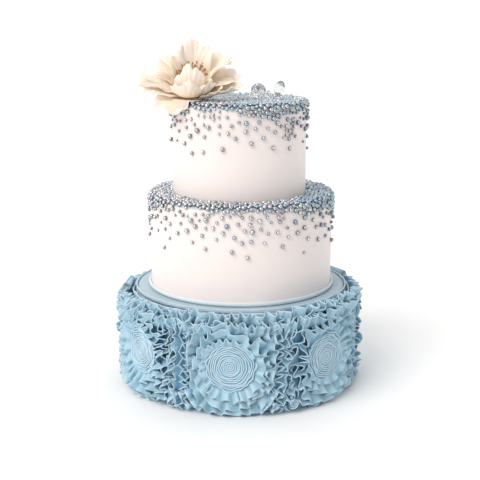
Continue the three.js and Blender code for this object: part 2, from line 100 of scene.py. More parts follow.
# ---------- Meshes ----------
def linked(name, data):
    obj = bpy.data.objects.new(name, data)
    bpy.context.scene.collection.objects.link(obj)
    return obj


def mesh_object(name, points, faces, material, smooth=True, **values):
    """An object from points in mm, face arrays that each have one number of corners, and values for each point."""
    me = bpy.data.meshes.new(name)
    points = (np.asarray(points, float).reshape(-1, 3) * MM).astype(np.float32)
    faces = [np.asarray(f, np.int32) for f in faces]
    loops = np.concatenate([f.ravel() for f in faces])
    sizes = np.concatenate([np.full(len(f), f.shape[1], np.int32) for f in faces])
    me.vertices.add(len(points))
    me.vertices.foreach_set("co", points.ravel())
    me.loops.add(len(loops))
    me.loops.foreach_set("vertex_index", loops)
    me.polygons.add(len(sizes))
    me.polygons.foreach_set("loop_start", (np.cumsum(sizes) - sizes).astype(np.int32))
    me.polygons.foreach_set("use_smooth", np.full(len(sizes), smooth))
    for key, value in values.items():
        me.attributes.new(key, "FLOAT", "POINT").data.foreach_set("value", value.astype(np.float32).ravel())
    me.update(calc_edges=True)
    me.validate()
    me.materials.append(material)
    return linked(name, me)


def piece(obj, slot, *nodes):
    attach(obj, "root")
    if nodes:
        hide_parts(*nodes)


def tube_faces(stations, ring, closed=False):
    """Quads between neighbouring rings of points."""
    a = np.arange(stations * ring).reshape(stations, ring)
    b = np.roll(a, -1, 1)
    quads = np.stack([a, b, np.roll(b, -1, 0), np.roll(a, -1, 0)], -1)
    return quads[:None if closed else -1].reshape(-1, 4)


def lathe(profile, segments=160):
    """Turns a closed profile of (radius, height) about Z."""
    radius, height = np.array(profile, float).T
    angles = circle(segments)[:, None]
    points = np.stack([radius * np.cos(angles), radius * np.sin(angles), height + 0 * angles], -1)
    return points, tube_faces(segments, len(profile), closed=True)


class Soup:
    """Points, faces and per-point values gathered from several surfaces."""

    def __init__(self):
        self.points, self.faces, self.values, self.count = [], {}, {}, 0

    def add(self, points, *faces, **values):
        self.points.append(points.reshape(-1, 3))
        for f in faces:
            self.faces.setdefault(f.shape[1], []).append(f + self.count)
        for key, value in values.items():
            self.values.setdefault(key, []).append(value.ravel())
        self.count += len(self.points[-1])

    def add_tube(self, points, **values):
        """A tube with flat ends, from the ring of points at each station."""
        stations, ring = points.shape[:2]
        ends = np.array([np.arange(ring), (stations - 1) * ring + np.arange(ring)[::-1]])
        self.add(points, tube_faces(stations, ring), ends, **values)

    def piece(self, name, material, slot, node):
        faces = [np.concatenate(same) for same in self.faces.values()]
        values = {key: np.concatenate(rows) for key, rows in self.values.items()}
        piece(mesh_object(name, np.concatenate(self.points), faces, material, **values), slot, node)


# ---------- Materials ----------
def srgb(r, g, b):
    """An sRGB colour, 0 to 255, as linear values."""
    return tuple((c / 255 / 12.92) if c <= 10 else ((c / 255 + 0.055) / 1.055) ** 2.4 for c in (r, g, b))


class Tree:
    """The nodes of a material or a world, up to the last of them, end."""

    def __init__(self, owner, end):
        owner.use_nodes = True
        self.nodes, self.links = owner.node_tree.nodes, owner.node_tree.links
        self.end = self.nodes[end]

    def feed(self, name, value):
        self.put(self.end.inputs[name], value)

    def put(self, socket, value):
        """Links an output to the socket, or sets its constant. A tuple is a colour."""
        if isinstance(value, bpy.types.NodeSocket):
            self.links.new(value, socket)
        else:
            socket.default_value = (*value, 1) if isinstance(value, tuple) else value

    def node(self, kind, inputs, **settings):
        node = self.nodes.new("ShaderNode" + kind)
        for key, value in settings.items():
            setattr(node, key, value)
        for key, value in inputs.items():
            self.put(node.inputs[key], value)
        return node

    def axes(self, kind):
        return self.node("SeparateXYZ", {0: self.node("TexCoord", {}).outputs[kind]}).outputs

    def attribute(self, name):
        return self.node("Attribute", {}, attribute_name=name).outputs["Fac"]

    def noise(self, scale, detail):
        inputs = {"Vector": self.node("TexCoord", {}).outputs["Object"], "Scale": scale, "Detail": detail}
        return self.node("TexNoise", inputs).outputs["Fac"]

    def math(self, operation, *values):
        return self.node("Math", dict(enumerate(values)), operation=operation).outputs[0]

    def mix(self, kind, factor, a, b):
        return self.node("Mix", {0: factor, 6: a, 7: b}, data_type="RGBA", blend_type=kind).outputs[2]

    def ramp(self, source, *stops):
        """Colours by the source's value, from stops of (position, colour)."""
        node = self.node("ValToRGB", {"Fac": source})
        elements = node.color_ramp.elements
        for k in (0, -1):
            elements[k].position, elements[k].color = stops[k][0], (*stops[k][1], 1)
        for position, color in stops[1:-1]:
            elements.new(position).color = (*color, 1)
        return node.outputs["Color"]


def surface(name, patches, dark, light, grain, roughness, span=(0.3, 0.7), **constants):
    """A material, its tree and its tint. Tint and roughness vary with patches, a noise of (scale, detail). The
    relief is grain: a noise's scale and detail, the bump's strength, and its distance in mm."""
    mat = bpy.data.materials.new(name)
    tree = Tree(mat, "Principled BSDF")
    for key, value in constants.items():
        tree.end.inputs[key.replace("_", " ")].default_value = value
    patch = tree.noise(*patches)
    tint = tree.ramp(patch, (span[0], dark), (span[1], light))
    tree.feed("Base Color", tint)
    scale, detail, strength, distance = grain
    bump = tree.node("Bump", {"Height": tree.noise(scale, detail), "Strength": strength, "Distance": distance * MM})
    tree.feed("Normal", bump.outputs["Normal"])
    spread = tree.node("MapRange", {"Value": patch, "To Min": roughness[0], "To Max": roughness[1]})
    tree.feed("Roughness", spread.outputs["Result"])
    return mat, tree, tint


def ruffle_material():
    """Blue fondant, with shade painted between the folds, in the grooves and under the strips, and a painted highlight
    on their rims.
    """
    mat, tree, tint = surface("ruffle_fondant", (22, 2), srgb(158, 195, 212), srgb(173, 205, 219),
                              (700, 3, 0.25, 0.25), (0.45, 0.65), Roughness=0.55)
    # painted shade: low painted light values darken and deepen the blue
    depth = tree.ramp(tree.attribute("rise"), (0.0, srgb(124, 176, 203)), (0.5, srgb(198, 226, 241)), (0.85, WHITE))
    # painted highlight: the rims are mixed towards a pale blue
    edge = tree.ramp(tree.attribute("rim"), (0.0, BLACK), (1.0, WHITE))
    tree.feed("Base Color", tree.mix("MIX", edge, tree.mix("MULTIPLY", 1.0, tint, depth), srgb(196, 217, 228)))
    return mat


def fondant(name, dark, light, roughness, scale=14):
    return surface(name, (scale, 3), srgb(*dark), srgb(*light), (500, 4, 0.2, 0.2),
                   (roughness - 0.08, roughness + 0.08), Roughness=roughness)[0]


def pearl_material(name, dark, light, metallic):
    """Lustre paint, with shade and a dark reflection painted where a pearl turns back to the cake."""
    mat, tree, tint = surface(name, (260, 2), srgb(*dark), srgb(*light), (2500, 2, 0.08, 0.1), (0.18, 0.34),
                              (0.35, 0.65), Roughness=0.25, Metallic=metallic, Coat_Weight=0.5, Coat_Roughness=0.12)
    # painted shade: darker on the side of each pearl that faces the cake
    foot = tree.ramp(tree.attribute("rise"), (0.5, srgb(166, 169, 178)), (0.78, WHITE))
    tree.feed("Base Color", tree.mix("MULTIPLY", 1.0, tint, foot))
    return mat


def petal_material():
    """Ivory paste, painted warmer and darker towards a petal's base: a painted warm shade for the flower's depths."""
    mat, tree, shade = surface("petal_paste", (60, 3), srgb(253, 247, 239), WHITE, (420, 4, 0.15, 0.3), (0.45, 0.65),
                               Roughness=0.55, Subsurface_Weight=0.35, Subsurface_Scale=0.012,
                               Subsurface_Radius=(1.0, 0.78, 0.55))
    # painted shade: warm and darker where painted light is low, at a petal's base
    base = tree.ramp(tree.attribute("rise"), (0.0, srgb(255, 227, 188)), (0.3, srgb(255, 238, 214)),
                     (1.0, srgb(255, 243, 231)))
    tree.feed("Base Color", tree.mix("MULTIPLY", 0.6, base, shade))
    return mat


def white_tier_material():
    """Blush fondant, with grey-blue shade painted under and between the close layer of pearls at each tier's top."""
    mat, tree, plain = surface("blush_fondant", (9, 3), srgb(236, 226, 223), srgb(242, 232, 229),
                               (500, 4, 0.12, 0.2), (0.37, 0.53), Roughness=0.45)
    height = tree.axes("Object")["Z"]
    pearl_gap_shade = []
    for top in (TOP.foot - CLEARANCE, CAKE_TOP):
        limits = {"Value": height, "From Min": (top - 4.5) * MM, "From Max": (top - 1.5) * MM}
        fade = tree.node("MapRange", limits, interpolation_type="SMOOTHSTEP").outputs["Result"]
        pearl_gap_shade.append(tree.math("MULTIPLY", fade, tree.math("LESS_THAN", height, (top + 0.2) * MM)))
    # painted shade between the pearls: the fondant is mixed towards grey-blue there
    tree.feed("Base Color", tree.mix("MIX", tree.math("MAXIMUM", *pearl_gap_shade), plain, srgb(178, 190, 198)))
    return mat


RUFFLE = ruffle_material()
BLUE_TOP = fondant("tier_fondant", (160, 180, 190), (174, 193, 203), 0.5)
ROPE_PASTE = fondant("rope_fondant", (205, 218, 224), (220, 230, 234), 0.5)
BLUSH = white_tier_material()
COLLAR_PASTE = fondant("collar_fondant", (182, 204, 216), (200, 218, 228), 0.5)
PETAL_PASTE = petal_material()
STAMEN_PASTE = fondant("stamen_paste", (158, 112, 64), (206, 164, 106), 0.6, scale=300)
CLEAR_SUGAR = surface("clear_sugar", (120, 2), (0.8, 0.82, 0.83), (0.93, 0.94, 0.95), (300, 2, 0.03, 0.1),
                      (0.05, 0.16), Roughness=0.1, Transmission_Weight=0.9, IOR=1.5)[0]


# ---------- Places on the ruffled wall ----------
def wall_place(azimuth, arc, height, depth):
    angle = azimuth + arc / UNROLL_RADIUS
    r = BOTTOM.radius + depth
    return np.stack([r * np.sin(angle), -r * np.cos(angle), np.maximum(height, LOWEST_FOLD)], -1)


def half_gap(i, side):
    """Half the angle from a rosette to its neighbour on one side."""
    beside = ROSETTE_AZIMUTHS[(i + side) % len(ROSETTE_AZIMUTHS)]
    return side * (beside - ROSETTE_AZIMUTHS[i]) % FULL_TURN / 2


def top_limit(azimuth):
    return np.interp(np.degrees(wrapped(azimuth)), *RUFFLE_TOPS)


def bulge(azimuth):
    """The ruffles stand out further on the left, and less on the right."""
    left, right = wrapped(azimuth + math.radians(92)), wrapped(azimuth - math.radians(88))
    return 3.6 * bell(left, 0.62) - 1.5 * bell(right, 0.6)


def run_length(path):
    return np.concatenate([[0], np.cumsum(np.linalg.norm(np.diff(path, axis=0), axis=1))])


def resampled(path, run, at):
    return np.stack([np.interp(at, run, row) for row in path.T], -1)


def outward_frame(path):
    """The path's direction, and the one square to it that points away from the rosette's centre."""
    tangent = unit(np.gradient(path, axis=0))
    normal = np.stack([tangent[:, 1], -tangent[:, 0]], -1)
    outward = np.stack([path[:, 0], path[:, 1] - ROSETTE_HEIGHT], -1)
    return tangent, normal * np.sign((normal * outward).sum(1))[:, None]


def runs(inside):
    """The first index, and the one after the last, of each unbroken row of True."""
    cuts = np.flatnonzero(np.diff(np.concatenate([[0], inside.astype(int), [0]])))
    return zip(cuts[::2], cuts[1::2])


# ---------- Strips and skirts ----------
STRIP_STEPS = 32
STRIP_NOSE = 0.3
SKIRT_LEVELS = np.array([0, 0.3, 0.55, 0.78, 0.92, 1])
SKIRT_NOSE = 0.35


def strip(soup, azimuth, edge, top, lean, fold, slip, levels, thick, power, base, foot_rise=0.0, rise_power=1.0):
    """A fondant strip that stands on the wall from the depth base. Its upper edge follows edge, a row of (arc,
    height) points, at the depths top. It leans outwards by lean (radians) at that edge, and there the folds push it
    along its face's normal by fold and along its length by slip. levels are shares of the way from foot to edge, and
    thick is the thickness at both."""
    n = len(edge)
    tangent, normal = outward_frame(edge)
    bend = lean[:, None] * np.linspace(0, 1, STRIP_STEPS + 1) ** power
    middle = (bend[:, 1:] + bend[:, :-1]) / 2
    up, out = (np.concatenate([np.zeros((n, 1)), np.cumsum(part, 1)], 1) / STRIP_STEPS
               for part in (np.cos(middle), np.sin(middle)))
    length = (top - base) / up[:, -1]
    columns = []
    for f in levels:
        at = round(f * STRIP_STEPS)
        push, angle = fold * f**1.1, lean * f**power
        back = (out[:, -1] - out[:, at]) * length
        depth = top - (up[:, -1] - up[:, at]) * length - np.sin(angle) * push
        face = np.cos(angle)[:, None] * normal
        place = edge - normal * back[:, None] + tangent * (slip * f**1.3)[:, None] + face * push[:, None]
        columns.append((place, depth, face, np.sin(angle), f))
    lines = []
    for sign in (1, -1):
        for place, depth, face, tip, f in columns[::sign]:
            half = (thick[0] * (1 - f) + thick[1] * f) / 2 * sign
            line = wall_place(azimuth, *(place + face * half).T, depth - tip * half)
            # painted shade darkens the strip towards its foot; its edge gets a painted rim highlight
            lines.append((line, foot_rise + (1 - foot_rise) * f**rise_power, 0.55 if f == 1 else 0))
        if sign > 0:  # the nose between the two faces
            nose = place + normal * (STRIP_NOSE * tip)[:, None]
            # painted highlight on the nose: full painted light and full rim highlight
            lines.append((wall_place(azimuth, *nose.T, depth + STRIP_NOSE * np.cos(lean)), 1, 1))
    points, rise, rim = zip(*lines)
    soup.add_tube(np.stack(points, 1), rise=np.tile(rise, n), rim=np.tile(rim, n))


def fold_stations(rng, length, wave_at, cusp, knife):
    """Folds of uneven width and height along a strip: stations s, and for each how far it is pushed out (about -1 to
    1), how far along (mm), and how far along for 1 mm of curl. Every crease is a station, so it stays crisp."""
    at = [-rng.uniform(0, 4)]
    while at[-1] < length or len(at) < 4:
        at.append(at[-1] + wave_at(at[-1]) / 2 * rng.choice([0.6, 0.8, 1.0, 1.3, 1.7]))
    at = np.array(at)
    sign = (-1.0) ** np.arange(len(at))
    height = sign * rng.uniform(0.45, 1.3, len(at)) * (1 + 0.2 * value_noise(rng, at, 30))
    slide = sign * knife * value_noise(rng, at, 28) + rng.uniform(-1.5, 1.5, len(at))
    t = np.linspace(0, 1, 6)[:-1]
    s = (at[:-1, None] + np.diff(at)[:, None] * t).ravel()
    s = np.concatenate([[0], s[(s > 0.15) & (s < length - 0.15)], [length]])
    i = np.clip(np.searchsorted(at, s, side="right") - 1, 0, len(at) - 2)
    gap = at[i + 1] - at[i]
    t = (s - at[i]) / gap
    ease = np.where(height[i] < 0, t ** (1 + cusp), 1 - (1 - t) ** (1 + cusp))
    push = height[i] * (1 - ease) + height[i + 1] * ease
    return s, push, slide[i] * (1 - ease) + slide[i + 1] * ease, gap / 6 * np.sin(FULL_TURN * t)


def skirt(soup, azimuth, rng, inner, outer, inner_depth, outer_depth, size, wave, tip, curl=0.9, knife=3.2,
          facing=None):
    """A fluted sheet. It is held along inner and free along outer, and its flutes fan out between the two. They are
    size high at the free edge, wave long, and their ridges reach tip further out there: away from the rosette's
    centre, or towards facing."""
    run = run_length(outer)
    if len(outer) < 4 or run[-1] < SHORTEST_PATH:
        return
    rows = [np.broadcast_to(v, run.shape) for v in (inner_depth, outer_depth, size, tip, wave)]
    s, push, slide, loop = fold_stations(rng, run[-1], lambda at: np.interp(at, run, rows[4]), 0.03, knife)
    inner, outer = resampled(inner, run, s), resampled(outer, run, s)
    inner_depth, outer_depth, size, tip = (np.interp(s, run, row) for row in rows[:4])
    tangent, normal = outward_frame(outer)
    if facing is not None:
        normal = np.broadcast_to(facing, outer.shape)
        tangent = np.broadcast_to([facing[1], -facing[0]], outer.shape)
    ends = np.clip(np.minimum(s, s[-1] - s) / 5, 0.15, 1)
    outer_depth = outer_depth + 1.2 * value_noise(rng, s, 13)
    size = size * (1 + 0.25 * value_noise(rng, s, 31)) * ends
    slide, loop = slide * ends, loop * ends
    f = SKIRT_LEVELS[None, :, None]
    place = inner[:, None] + (outer - inner)[:, None] * f
    place = place - normal[:, None] * (tip * push)[:, None, None] * f**2
    place = place + tangent[:, None] * (slide[:, None, None] * f**1.3 + curl * loop[:, None, None] * f**2.5)
    depth = inner_depth[:, None] + (outer_depth - inner_depth)[:, None] * SKIRT_LEVELS**1.2
    depth = depth - (size * push)[:, None] * SKIRT_LEVELS**0.8
    grid = np.concatenate([place, depth[..., None]], -1)
    face = unit(np.cross(np.gradient(grid, axis=0), np.gradient(grid, axis=1)))
    face *= np.sign(face[..., 2:].mean())
    half = 0.65 - 0.25 * f
    nose = grid[:, -1] + SKIRT_NOSE * unit(grid[:, -1] - grid[:, -2])
    rings = np.concatenate([grid + face * half, nose[:, None], (grid - face * half)[:, ::-1]], 1)
    points = wall_place(azimuth, *np.moveaxis(rings, -1, 0))
    # painted shade: darker near the held edge, in the valleys of the flutes and on the underside; painted highlight on
    # the free edge and its nose
    front = 0.72 + 0.2 * SKIRT_LEVELS - 0.16 * SKIRT_LEVELS * push[:, None]
    back = np.broadcast_to(0.5 + 0.2 * SKIRT_LEVELS[::-1], front.shape)
    rim = np.zeros(points.shape[:2])
    rim[:, len(SKIRT_LEVELS) - 1:len(SKIRT_LEVELS) + 2] = (0.55, 1, 0.5)
    soup.add_tube(points, rise=np.concatenate([front, np.ones((len(s), 1)), back], 1), rim=rim)


# ---------- Ruffles ----------
def coil(soup, azimuth, rng):
    """The wound centre. Its turns sway together, so that they part and meet without crossing."""
    theta = np.linspace(1.2, FULL_TURN * COIL_TURNS, 5000)
    r = COIL_RADIUS * (theta / theta[-1]) ** 1.06
    start = rng.uniform(0, FULL_TURN, 6)  # the last two are spare
    sway = sum(size * np.sin(lobes * theta + phase + twist * r) for size, lobes, twist, phase in zip(
        (1, 0.8, 0.7), (4.012, 6.972, 11.044), (0.1, -0.21, 0.33), start[1:]))
    far = r + 0.55 * np.clip((r - 6) / 20, 0, 1) * sway
    far += 0.58 * np.clip(r / 8, 0.3, 1) * value_noise(rng, theta, 0.8)
    path = np.stack([far * np.cos(theta + start[0]), ROSETTE_HEIGHT + far * np.sin(theta + start[0])], -1)
    run = run_length(path)
    s = np.linspace(0, run[-1], int(run[-1] / 1.25) + 1)
    path = resampled(path, run, s)
    radius = np.hypot(path[:, 0], path[:, 1] - ROSETTE_HEIGHT)
    loose = np.clip((radius - 9) / 19, 0, 1)
    wave = folds(rng, s, 13.0)
    top = COIL_DEPTH + 0.7 * value_noise(rng, s, 9) * (0.3 + loose) + 0.4 * wave * loose
    top -= 0.9 * (1 - radius / COIL_RADIUS)
    # painted shade, strong in the grooves between the turns: dark at the feet, lit only near the top edges
    strip(soup, azimuth, path, top, 0.05 + 0.75 * loose**2.5, 0.5 * wave * loose**2, 0 * s, (0, 0.82, 0.94, 1),
          (1.65, 1.3), power=2.0, base=8.0, foot_rise=0.3, rise_power=4.0)


def folds(rng, s, wave_length):
    """A wavy line along s, a little pointed. Its folds vary in width and height."""
    phase = FULL_TURN * s / wave_length + 2.6 * value_noise(rng, s, wave_length * 1.7) + rng.uniform(0, 6.28)
    height = 1 + 0.45 * value_noise(rng, s, wave_length * 1.3)
    round_wave = np.sin(phase)
    pointed = 2 / np.pi * np.arcsin(0.97 * round_wave)
    return (0.8 * round_wave + 0.2 * pointed) * height


def rosette_frill(soup, azimuth, rng, pleated_at):
    """The outer turns of a rosette: the strip goes on winding, but lies open in flutes."""
    start = rng.uniform(0, FULL_TURN)
    theta = start + np.linspace(0, FULL_TURN * FLUTED_TURNS, 2800)
    turn = (theta - start) / FULL_TURN
    near = bell(wrapped(theta - pleated_at), 0.7)

    def noise(cell):
        return value_noise(rng, theta * 40, cell)

    def by_turn(turns, values):
        return np.interp(turn, turns, values)

    r = 26.6 + 2.4 * np.clip(turn * 2, 0, 1) + 7.3 * turn + (0.5 + turn) * noise(21)
    r += 1.4 * np.clip(turn * 1.5, 0, 1) * noise(9)
    r += 2.5 * near * np.clip(turn, 0, 1)
    width = by_turn([0, 0.3, 1, 2, 3.5], [3.5, 7.0, 10.5, 11.0, 10.0]) + 2.5 * near
    held = np.maximum(23.6, r - width)
    tucked = np.clip((FLUTED_TURNS - turn) / 0.12, 0, 1)
    r = held + (r - held) * (0.35 + 0.65 * tucked)

    def on_wall(radius):
        tall = 1 + 0.09 * np.clip((radius - 28) / 14, 0, 1)
        height = ROSETTE_HEIGHT + tall * radius * np.sin(theta)
        height = np.where(height < 9, 9 * np.exp(np.minimum(0, height - 9) / 9), height)
        return np.stack([radius * np.cos(theta), height], -1)

    inner, outer = on_wall(held), on_wall(r)
    where = azimuth + outer[:, 0] / UNROLL_RADIUS
    inside = (outer[:, 1] < top_limit(where) - 1) & (outer[:, 1] > 1.5)
    out = bulge(where)
    inner_depth = by_turn([0, 1, 2, 3.5], [13.6, 11.5, 8.5, 6.0]) + 0.4 * out
    outer_depth = by_turn([0, 0.4, 1.2, 3.5], [15.0, 15.8, 16.2, 14.8]) - near + out
    outer_depth += 1.2 * noise(33) - 5 * (1 - tucked)
    size = by_turn([0, 0.25, 0.7, 1.4, 3.5], [0.9, 2.4, 3.8, 4.6, 5.0])
    wave = by_turn([0, 0.4, 1, 3.5], [6.5, 9.0, 11.5, 14.0]) * (1 + 0.2 * noise(50))
    tip = by_turn([0, 0.3, 0.8, 3.5], [-0.3, -1.8, -3.2, -4.0]) * (1 + 0.2 * noise(37))
    for low, high in runs(inside):
        skirt(soup, azimuth, rng, *(row[low:high] for row in (inner, outer, inner_depth, outer_depth, size, wave, tip)))


def rim_frill(soup, i, rng):
    """Upright ruffles over this rosette and half way to its neighbours: a row below the rim, and one up to it."""
    here = ROSETTE_AZIMUTHS[i]
    for low, high, held, free, size, swell in ((22, 7.5, 12.0, 16.0, 5.0, 0.6), (13, -2.0, 8.5, 12.6, 4.6, 0)):
        arc = np.linspace(-half_gap(i, -1) * UNROLL_RADIUS, half_gap(i, 1) * UNROLL_RADIUS, 400)
        limit = top_limit(here + arc / UNROLL_RADIUS)
        edge = limit - high - np.clip((109 - limit) / 3, 0, 1) + 2.2 * value_noise(rng, arc + 200, 15)
        inner, outer = np.stack([arc * 0.97, limit - low], -1), np.stack([arc, edge], -1)
        depth = free + swell * bulge(here + arc / UNROLL_RADIUS)
        wave = 12 * (1 + 0.25 * value_noise(rng, arc + 200, 45))
        skirt(soup, here, rng, inner, outer, held, depth, size, wave, -1.2, curl=0.8, knife=3.0, facing=(0, 1))


def band_frill(soup, i, rng):
    """Strips that run up between two rosettes and loop from side to side."""
    middle = ROSETTE_AZIMUTHS[i] + half_gap(i, 1)
    for x, sign, top in ((-3.0, -1, 15.4), (3.4, 1, 15.4), (-9.6, -1, 14.2), (9.8, 1, 14.2)):
        z = np.linspace(3, top_limit(middle) - 3, 240)
        x = x + 2.2 * value_noise(rng, z, 24)
        inner, outer = np.stack([x - 2.0 * sign, z], -1), np.stack([x + 1.2 * sign, z], -1)
        wave = 10 * (1 + 0.35 * value_noise(rng, z, 26))
        skirt(soup, middle, rng, inner, outer, 6, top + bulge(middle), 2.3, wave, -4.2, knife=2.5, facing=(sign, 0))


def cell_arcs(i, side):
    """Arcs round a rosette beyond its frill, cut to the space it shares with its neighbour."""
    half = half_gap(i, side) * UNROLL_RADIUS
    theta = np.linspace(-np.pi / 2, np.pi / 2, 900)
    for r in np.arange(56, 86, 8.2):
        arc, height = side * r * np.cos(theta), ROSETTE_HEIGHT + 1.09 * r * np.sin(theta)
        limit = top_limit(ROSETTE_AZIMUTHS[i] + arc / UNROLL_RADIUS)
        inside = (np.abs(arc) < half - 0.8) & (np.abs(arc) > 1) & (height > 3) & (height < limit)
        inside &= np.abs(height - ROSETTE_HEIGHT) > 25
        for low, high in runs(inside):
            yield np.stack([arc[low:high], height[low:high]], -1)


def arc_frill(soup, azimuth, rng, path):
    """One ruffled strip whose edge follows path. It leans away from the rosette's centre."""
    run = run_length(path)
    if len(path) < 4 or run[-1] < SHORTEST_PATH:
        return
    top = 14.8 + bulge(azimuth + path[:, 0] / UNROLL_RADIUS)
    s, push, slide, loop = fold_stations(rng, run[-1], lambda at: 15, 0.25, 2.0)
    top = np.interp(s, run, top) + 1.3 * value_noise(rng, s, 17)
    lean = 0.95 * (1 + 0.2 * value_noise(rng, s, 23))
    strip(soup, azimuth, resampled(path, run, s), top, lean, 4.4 * push, slide + 1.2 * loop, (0, 0.35, 0.7, 1),
          (1.3, 0.8), power=0.5, base=7.0)


def ruffle_ground():
    """The fondant under the ruffles: it closes the gaps between the strips and swells under each wound centre."""
    a, f = np.meshgrid(circle(420), np.linspace(0, 1, 52), indexing="ij")
    z = LOWEST_FOLD + f * (top_limit(a) - 5.5 - LOWEST_FOLD)
    ripple = 0.6 * np.sin(9 * a + z / 7) + 0.5 * np.sin(23 * a - z / 5)
    depth = 8.8 + ripple - 1.2 * np.clip((z - 85) / 12, 0, 1)
    # painted shade on the ground between the strips, a little lighter towards each wound centre; its inner face is
    # painted darker still
    shade = np.full_like(z, 0.48)
    for azimuth in ROSETTE_AZIMUTHS:
        away = np.hypot(wrapped(a - azimuth) * UNROLL_RADIUS, z - ROSETTE_HEIGHT)
        near = np.clip((31 - away) / 6, 0, 1)
        depth += (4.3 - ripple) * near
        shade += 0.08 * near
    closing = np.clip(f * 34, 0.15, 1) * np.clip((1 - f) * 34, 0.15, 1)
    inner_depth = np.where(z > 89, 4.4, -0.5)
    outer, inner = (wall_place(0, a * UNROLL_RADIUS, z, inner_depth + (depth - inner_depth) * share)
                    for share in (closing, 0))
    points = np.concatenate([outer, inner[:, ::-1]], 1)
    rise = np.concatenate([shade, np.full_like(shade, 0.3)], 1)
    faces = tube_faces(*rise.shape, closed=True)
    piece(mesh_object("ruffle_ground", points, [faces], RUFFLE, rise=rise, rim=0 * rise), "blue_fondant")


def build_ruffles():
    ruffle_ground()
    for i, azimuth in enumerate(ROSETTE_AZIMUTHS):
        rng, soup = np.random.default_rng(100 + i), Soup()
        coil(soup, azimuth, rng)
        rosette_frill(soup, azimuth, rng, PLEATED_AT[i])
        rim_frill(soup, i, rng)
        soup.piece(f"ruffle_rosette_{i + 1}", RUFFLE, "blue_fondant", f"rosette_{i + 1}")
    for i in range(len(ROSETTE_AZIMUTHS)):
        rng, soup = np.random.default_rng(200 + i), Soup()
        band_frill(soup, i, rng)
        for index, side in ((i, 1), ((i + 1) % len(ROSETTE_AZIMUTHS), -1)):
            for path in cell_arcs(index, side):
                arc_frill(soup, ROSETTE_AZIMUTHS[index], rng, path)
        soup.piece(f"ruffle_band_{i + 1}", RUFFLE, "blue_fondant", f"frill_{i + 1}")


# ---------- Tiers ----------
ROPE_HALF, ROPE_HEIGHT, ROPE_CROWN = 1.35, 4.8, 2.4  # half its thickness, its height, and its rounded part's


def tier_object(name, tier, material, slot, node):
    r, h, s, z, _ = tier
    profile = [(0.01, z), (r - 0.4, z), (r, z + 0.1), (r, z + 0.6)] + [(r, z + h * part) for part in (0.25, 0.5, 0.75)]
    profile += [(r - s + s * math.cos(a), h - s + s * math.sin(a) + z) for a in np.linspace(0, np.pi / 2, 9)]
    points, faces = lathe(profile + [(0.01, z + h)])
    piece(mesh_object(name, points + (tier.offset, 0, 0), [faces], material), slot, node)


def build_tiers():
    tier_object("fondant_tier_bottom", BOTTOM, BLUE_TOP, "blue_fondant", "bottom_tier")
    tier_object("fondant_tier_middle", MIDDLE, BLUSH, "blush_fondant", "middle_tier")
    tier_object("fondant_tier_top", TOP, BLUSH, "blush_fondant", "top_tier")

    inner, middle, foot = MIDDLE.radius + 0.1, MIDDLE.radius + CLEARANCE + ROPE_HALF, MIDDLE.foot
    profile = [(inner, foot), (middle, foot)]
    for a in np.linspace(-0.35, np.pi * 0.75, 12):
        profile.append((middle + ROPE_HALF * math.cos(a), foot + ROPE_HEIGHT - ROPE_CROWN * (1 - math.sin(a))))
    points, faces = lathe(profile + [(inner, foot + ROPE_HEIGHT - ROPE_CROWN / 2)])
    piece(mesh_object("rope", points, [faces], ROPE_PASTE), "pale_blue_fondant", "base_rope")


# ---------- Strips round the rim, and rolled pieces ----------
STRIP_SECTION = np.array([  # share of the height, share of the flare, half thicknesses outwards
    (0, 0, -1), (0, 0, 1), (0.5, 0.4, 1), (0.9, 0.9, 1), (0.98, 1, 0.75), (1, 1, 0), (0.98, 1, -0.75), (0.9, 0.9, -1),
    (0.5, 0.4, -1)]).T
ROLL_SECTION = np.array([  # share of the length, half thicknesses outwards, painted light (low values paint shade on the inner face), painted rim highlight
    (0, -1, 0.5, 0), (0, 1, 0.5, 0), (0.6, 1, 0.9, 0), (0.93, 1, 1, 0.3), (1, 0.5, 1, 1), (1, -0.5, 1, 1),
    (0.93, -1, 0.7, 0.3), (0.6, -1, 0.4, 0)]).T


def standing_strip(name, node, slot, radius, thickness, foot, top, high_front, flare, wave):
    """A thin strip round the tier, on the heights foot inside and outside. Its wavy top leans out and is higher at
    the front."""
    angles = circle(420)[:, None]
    ripple = np.sin(9 * angles) + np.sin(14 * angles + 1)
    crest = top + high_front * np.cos(angles) + wave / 2 * ripple
    crest += 0.22 * np.sin(31 * angles + 2) + 0.18 * np.sin(53 * angles)
    sway = 0.45 * np.sin(17 * angles + 0.6) * np.sin(3 * angles) + 0.3 * np.sin(37 * angles + 1)
    up, out, off = STRIP_SECTION
    base = np.where(off < 0, *foot)
    r = radius + thickness / 2 * (1 + off) + flare * out + sway * out * min(1, flare)
    points = np.stack([r * np.sin(angles), -r * np.cos(angles), base + (crest - base) * up], -1)
    piece(mesh_object(name, points, [tube_faces(*r.shape, closed=True)], COLLAR_PASTE), slot, node)


def rolled_strip(name, node, azimuth, reach, height, turn, turns, radii, thickness, ends, flare, recess):
    """A strip rolled about +Y between two ends, turned about Z and placed on the wall. At its far end the strip
    flares, and each turn inwards lies deeper by the recess."""
    t = np.linspace(0, 1, int(26 * turns))[:, None]
    angle = FULL_TURN * turns * t
    r = radii[0] + (radii[1] - radii[0]) * t
    along, off, rise, rim = ROLL_SECTION
    widen = flare * np.maximum(0, along - 0.6) / 0.4 * t**2
    tuck = (1 - along) * 0.25 * r * (1 - np.minimum(1, along * 2))
    radius = np.maximum(0.15, r + off * thickness / 2 + widen - tuck)
    y = ends[0] + (ends[1] - recess * (1 - t) - ends[0]) * along
    points = np.stack([radius * np.cos(angle), y, radius * np.sin(angle)], -1)
    move, spin = (np.array(Matrix.Rotation(math.radians(a), 3, "Z")).T for a in (turn, azimuth))
    points = (points @ move + (0, -reach, height)) @ spin
    soup = Soup()
    soup.add_tube(points, rise=np.tile(rise, len(t)), rim=np.tile(rim, len(t)))
    soup.piece(name, RUFFLE, "blue_fondant", node)


